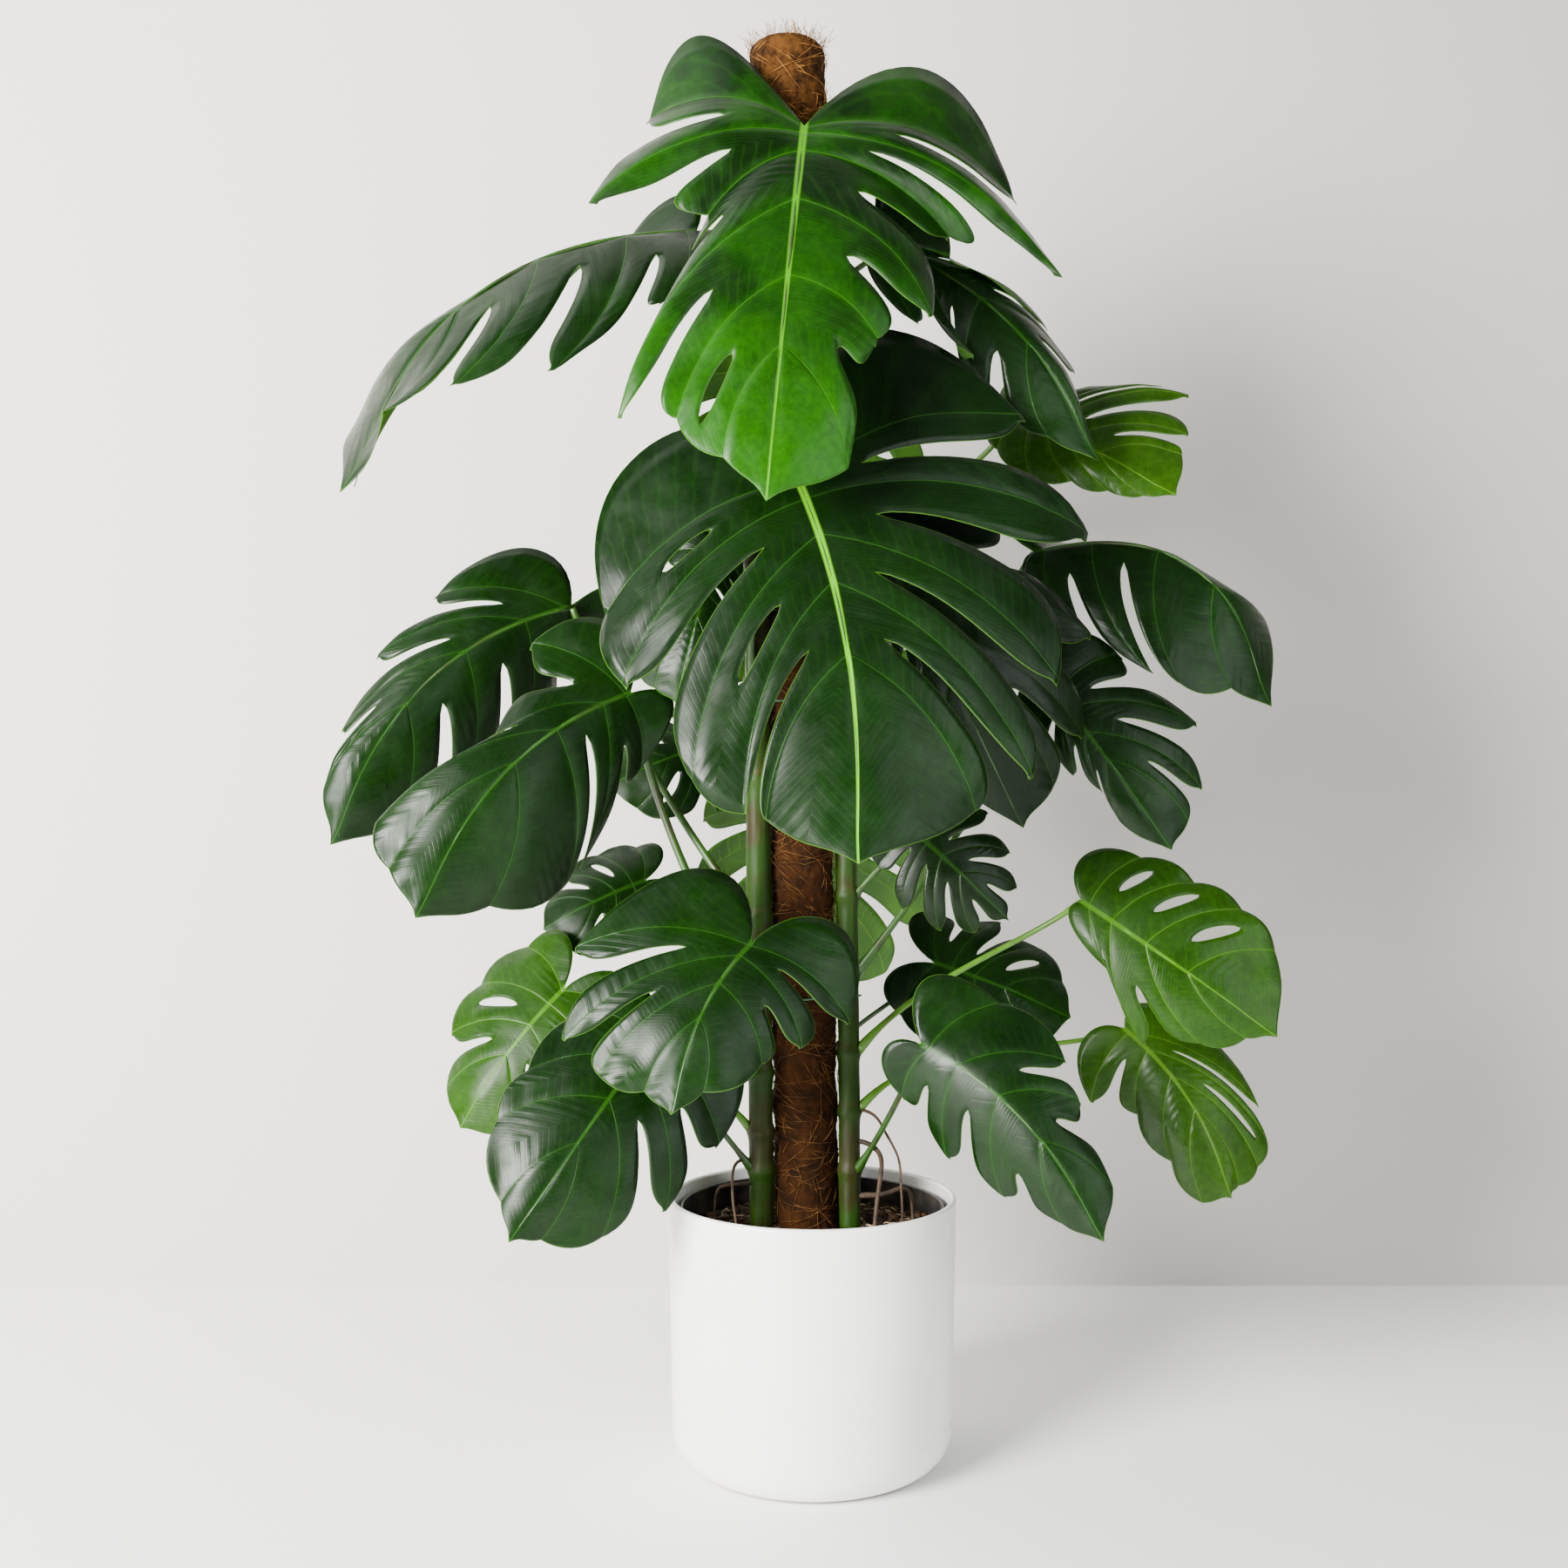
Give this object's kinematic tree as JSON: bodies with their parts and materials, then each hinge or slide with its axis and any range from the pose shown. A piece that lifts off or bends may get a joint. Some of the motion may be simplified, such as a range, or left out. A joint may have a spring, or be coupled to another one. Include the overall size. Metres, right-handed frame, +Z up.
{
  "type": "potted monstera plant",
  "caption": "Tall split-leaf climbing plant on a coir pole, with its round cover pot, grow pot and soil.",
  "frame": {"origin": "middle of the cover pot's flat foot, on the floor", "axes": "+Z up along the pot's axis, -Y towards the plant's front, +X to the plant's right as seen from the front"},
  "size_m": [0.9868, 0.6515, 1.466],
  "materials": {
    "glaze": "satin glaze",
    "black_plastic": "thin black plastic",
    "soil": "loose dark potting soil",
    "coir": "rough coconut fibre",
    "stake": "wooden stake inside the coir",
    "vine": "green stem with brown node rings",
    "stalk": "smooth green leaf stalk",
    "root": "dark dry air root",
    "tie": "dark green garden tie",
    "leaf": "waxy leaf, dark green above and lighter below"
  },
  "bodies": {
    "root": {"cover_pot": "glaze", "grow_pot": "black_plastic", "soil": "soil", "stake": "stake", "coir_pole": "coir", "vine_left": "vine", "vine_right": "vine", "vine_back": "vine", "tie_lower": "tie", "tie_upper": "tie", "air_root_right": "root", "air_root_front": "root", "blade_top_front": "leaf", "blade_middle_front": "leaf", "blade_top_left": "leaf", "blade_top_right": "leaf", "blade_far_right": "leaf", "blade_left_back": "leaf", "blade_left_front": "leaf", "blade_right_upper": "leaf", "blade_right_middle": "leaf", "blade_behind_right": "leaf", "blade_right_dark": "leaf", "blade_low_front": "leaf", "blade_lowest_left": "leaf", "blade_far_left_low": "leaf", "blade_left_low_back": "leaf", "blade_right_low": "leaf", "blade_right_lowest": "leaf", "blade_low_right_front": "leaf", "blade_low_right_back": "leaf", "blade_behind_left": "leaf", "blade_upper_behind_left": "leaf", "blade_back_upper": "leaf", "blade_back_middle": "leaf", "blade_back_low": "leaf", "stalk_top_front": "stalk", "stalk_middle_front": "stalk", "stalk_top_left": "stalk", "stalk_top_right": "stalk", "stalk_far_right": "stalk", "stalk_left_back": "stalk", "stalk_left_front": "stalk", "stalk_right_upper": "stalk", "stalk_right_middle": "stalk", "stalk_behind_right": "stalk", "stalk_right_dark": "stalk", "stalk_low_front": "stalk", "stalk_lowest_left": "stalk", "stalk_far_left_low": "stalk", "stalk_left_low_back": "stalk", "stalk_right_low": "stalk", "stalk_right_lowest": "stalk", "stalk_low_right_front": "stalk", "stalk_low_right_back": "stalk", "stalk_behind_left": "stalk", "stalk_upper_behind_left": "stalk", "stalk_back_upper": "stalk", "stalk_back_middle": "stalk", "stalk_back_low": "stalk"}
  },
  "joints": []
}
